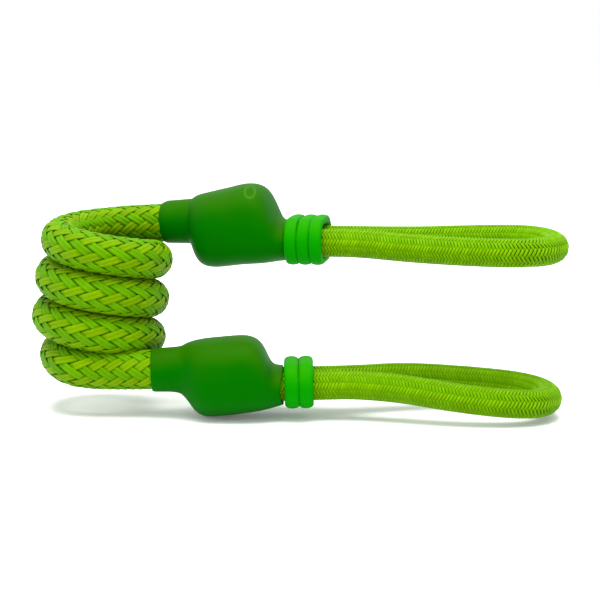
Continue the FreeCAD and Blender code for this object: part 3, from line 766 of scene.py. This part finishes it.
# Rings of each end, in millimetres: how many, width along the legs, thickness off the legs, the gap
# between the neck's lip and the first one, and how far the corners of the section are pushed out.
RINGS = {"upper": (3, 3.5, 2.85, 0.8, 0.14), "lower": (2, 3.8, 2.65, 1.6, 0.06)}
RING_LIFT = 0.4 * MM
RING_TOUCH = 1.14
RING_SWAY = 0.1 * MM


def add_rings(end, material):
    """Rings stretched from round to oval, squared where each presses on the next."""
    count, wide, thick, gap, corner = RINGS[end]
    major = CORD_RADIUS + thick / 2 * MM
    diagonal = thick / 2 * MM * math.sqrt(0.5)
    for number in range(1, count + 1):
        centre = BOOT_LENGTH + (gap + wide / 2 + (number - 1) * wide) * MM
        level = RING_LIFT - NECK_DROP
        bpy.ops.object.select_all(action="DESELECT")
        bpy.ops.mesh.primitive_torus_add(
            major_radius=major, minor_radius=thick / 2 * MM, major_segments=48,
            minor_segments=16, location=(centre, 0, level), rotation=(0, math.pi / 2, 0),
        )
        ring = bpy.context.object
        ring.name = f"{end}_rubber_ring_{number}"
        bpy.ops.object.transform_apply(location=True, rotation=True, scale=True)
        bpy.ops.object.mode_set(mode="EDIT")
        pick(
            ring,
            lambda place: abs(place.x - centre) > 0.7 * diagonal
            and math.hypot(place.y, place.z - level) > major + 0.7 * diagonal,
        )
        outward = 1 + corner * MM / (major + diagonal)
        bpy.ops.transform.resize(
            value=(1 + corner * MM / diagonal, outward, outward), center_override=(centre, 0, level)
        )
        for side in (1, -1):
            pick(ring, lambda place: place.y * side > 1e-6)
            bpy.ops.transform.translate(value=(0, side * LEG_SPACING / 2, 0))
        bpy.ops.mesh.select_all(action="SELECT")
        bpy.ops.transform.resize(value=(RING_TOUCH * wide / thick, 1, 1), center_override=(centre, 0, level))
        pick(ring, lambda place: place.z > level + 3 * MM)
        bpy.ops.transform.translate(value=(RING_SWAY * (-1) ** number, 0, 0))
        bpy.ops.object.mode_set(mode="OBJECT")
        smooth = ring.modifiers.new("smooth", "SUBSURF")
        smooth.levels = 1
        smooth.render_levels = 1
        bpy.ops.object.modifier_apply(modifier="smooth")
        ring.data.materials.append(material)
        bpy.ops.object.shade_smooth()
        seat(ring, PLACES[end])
        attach(ring, end + "_rings")
        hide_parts(f"{end}_ring_{number}")


# ---------------------------------------------------------------------------
# rubber, nylon and metal
# ---------------------------------------------------------------------------


def moulded_rubber(name, side, top, roughness, mark=None):
    """Moulded coloured rubber: satin, with a faint skin texture, and painted light: yellower on faces
    turned up, where the light falls from above. mark is the centre of a faint pale ring painted on the skin."""
    material, shader = new_material(name)
    place = add_node(material, "ShaderNodeTexCoord")
    surface = add_node(material, "ShaderNodeNewGeometry")
    facing = add_node(material, "ShaderNodeSeparateXYZ", Vector=surface.outputs["Normal"])
    cloud = add_node(
        material, "ShaderNodeTexNoise", Vector=place.outputs["Object"], Scale=120.0, Detail=2.0,
    )
    sway = add_node(
        material, "ShaderNodeMapRange", Value=cloud.outputs[0], To_Min=-0.25, To_Max=0.25,
    )
    lifted = add_node(
        material, "ShaderNodeMath", {"operation": "ADD"}, _0=facing.outputs["Z"], _1=sway.outputs[0],
    )
    # painted light: faces turned up take the top colour, the yellower tint of light from above; the rest take
    # side
    painted_top_light = add_node(
        material, "ShaderNodeMapRange", {"interpolation_type": "SMOOTHSTEP"}, Value=lifted.outputs[0],
        From_Min=0.0, From_Max=0.95,
    )
    colour = add_node(
        material, "ShaderNodeMix", {"data_type": "RGBA"}, Factor=painted_top_light.outputs[0],
        _6=srgb(side), _7=srgb(top),
    )
    skin = add_node(
        material, "ShaderNodeTexNoise", Vector=place.outputs["Object"], Scale=900.0, Detail=3.0,
    )
    height = skin.outputs[0]
    tinted = colour.outputs[2]
    # a faint pale ring painted round the mark, strongest on skin that faces the front
    if mark:
        offset = add_node(
            material, "ShaderNodeVectorMath", {"operation": "SUBTRACT"}, _0=place.outputs["Object"],
            _1=tuple(mark),
        )
        flat = add_node(
            material, "ShaderNodeVectorMath", {"operation": "MULTIPLY"}, _0=offset.outputs[0], _1=(1, 0, 1),
        )
        away = add_node(material, "ShaderNodeVectorMath", {"operation": "LENGTH"}, _0=flat.outputs[0])
        inner = add_node(
            material, "ShaderNodeMapRange", {"interpolation_type": "SMOOTHSTEP"},
            Value=away.outputs["Value"], From_Min=0.0009, From_Max=0.0014,
        )
        outer = add_node(
            material, "ShaderNodeMapRange", {"interpolation_type": "SMOOTHSTEP"},
            Value=away.outputs["Value"], From_Min=0.0015, From_Max=0.0020, To_Min=1.0, To_Max=0.0,
        )
        rim = add_node(
            material, "ShaderNodeMath", {"operation": "MULTIPLY"}, _0=inner.outputs[0], _1=outer.outputs[0],
        )
        front = add_node(
            material, "ShaderNodeMapRange", {"interpolation_type": "SMOOTHSTEP"}, Value=facing.outputs["Y"],
            From_Min=-0.35, From_Max=0.0, To_Min=0.25, To_Max=0.0,
        )
        pale = add_node(
            material, "ShaderNodeMath", {"operation": "MULTIPLY"}, _0=rim.outputs[0], _1=front.outputs[0],
        )
        marked = add_node(
            material, "ShaderNodeMix", {"data_type": "RGBA"}, Factor=pale.outputs[0],
            _6=tinted, _7=srgb("#4f8c1c"),
        )
        tinted = marked.outputs[2]
    link(material, tinted, shader.inputs["Base Color"])
    bump = add_node(
        material, "ShaderNodeBump", Height=height, Strength=0.15, Distance=0.0001,
    )
    link(material, bump.outputs[0], shader.inputs["Normal"])
    shader.inputs["Roughness"].default_value = roughness
    shader.inputs["IOR"].default_value = 1.43
    shader.inputs["Specular IOR Level"].default_value = 0.06
    shader.inputs["Specular Tint"].default_value = srgb("#7fe000")
    return material


def hard_finish(name, code, metallic, roughness, grain_mm):
    """Moulded nylon or plated metal: one colour, slightly uneven, with a fine grain."""
    material, shader = new_material(name)
    place = add_node(material, "ShaderNodeTexCoord")
    grain = add_node(
        material, "ShaderNodeTexNoise", Vector=place.outputs["Object"], Scale=1000.0 / grain_mm, Detail=2.0,
    )
    shade = add_node(
        material, "ShaderNodeMapRange", Value=grain.outputs[0], To_Min=0.85, To_Max=1.15,
    )
    tint = add_node(material, "ShaderNodeHueSaturation", Color=srgb(code), Value=shade.outputs[0])
    link(material, tint.outputs[0], shader.inputs["Base Color"])
    bump = add_node(
        material, "ShaderNodeBump", Height=grain.outputs[0], Strength=0.1, Distance=0.00005,
    )
    link(material, bump.outputs[0], shader.inputs["Normal"])
    shader.inputs["Metallic"].default_value = metallic
    shader.inputs["Roughness"].default_value = roughness
    return material


def finish_hidden_parts():
    """The clamp, its screws and nuts, and the crimps keep their CAD shapes."""
    nylon = hard_finish("moulded_black_nylon", "#202020", 0.0, 0.55, 0.8)
    steel = hard_finish("zinc_plated_steel", "#b4b6b8", 1.0, 0.35, 0.3)
    aluminium = hard_finish("drawn_aluminium", "#c8cacc", 1.0, 0.3, 0.5)
    for node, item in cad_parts.items():
        if node.endswith(("clamp_front", "clamp_back")):
            finish = nylon
        elif node.endswith(("clamp_screws", "clamp_nuts")):
            finish = steel
        elif node.endswith("crimp"):
            finish = aluminium
        else:
            continue
        item.data.materials.clear()
        item.data.materials.append(finish)


add_camera()
add_surroundings()
add_rope()
# the third colour is painted shade under crossing strands, 0.74 the share of colour the painted underside
# shade keeps
loop_yarn = braided_yarn("lime_braided_elastic", "#6ca002", "#649b02", "#3a6f00", 0.1, 0.74)
# the core's dark colour is partly painted shade in the gaps of the cover
loop_filling = packed_core("elastic_filling", "#3a6c00")
add_loop("upper", loop_yarn, loop_filling, seed=5)
add_loop("lower", loop_yarn, loop_filling, seed=8)
UPPER_MARK = PLACES["upper"] @ Vector((26.2 * MM, 0, 9.7 * MM))
# the second rubber colour is the painted light on faces turned up
add_boot("upper", moulded_rubber("dark_green_rubber_upper", "#015c00", "#225b00", 0.5, UPPER_MARK))
add_boot("lower", moulded_rubber("dark_green_rubber_lower", "#015c00", "#225b00", 0.5))
# the second colour is the painted light on the rings' faces turned up
ring_rubber = moulded_rubber("bright_green_rubber", "#048201", "#1f8601", 0.6)
add_rings("upper", ring_rubber)
add_rings("lower", ring_rubber)
finish_hidden_parts()
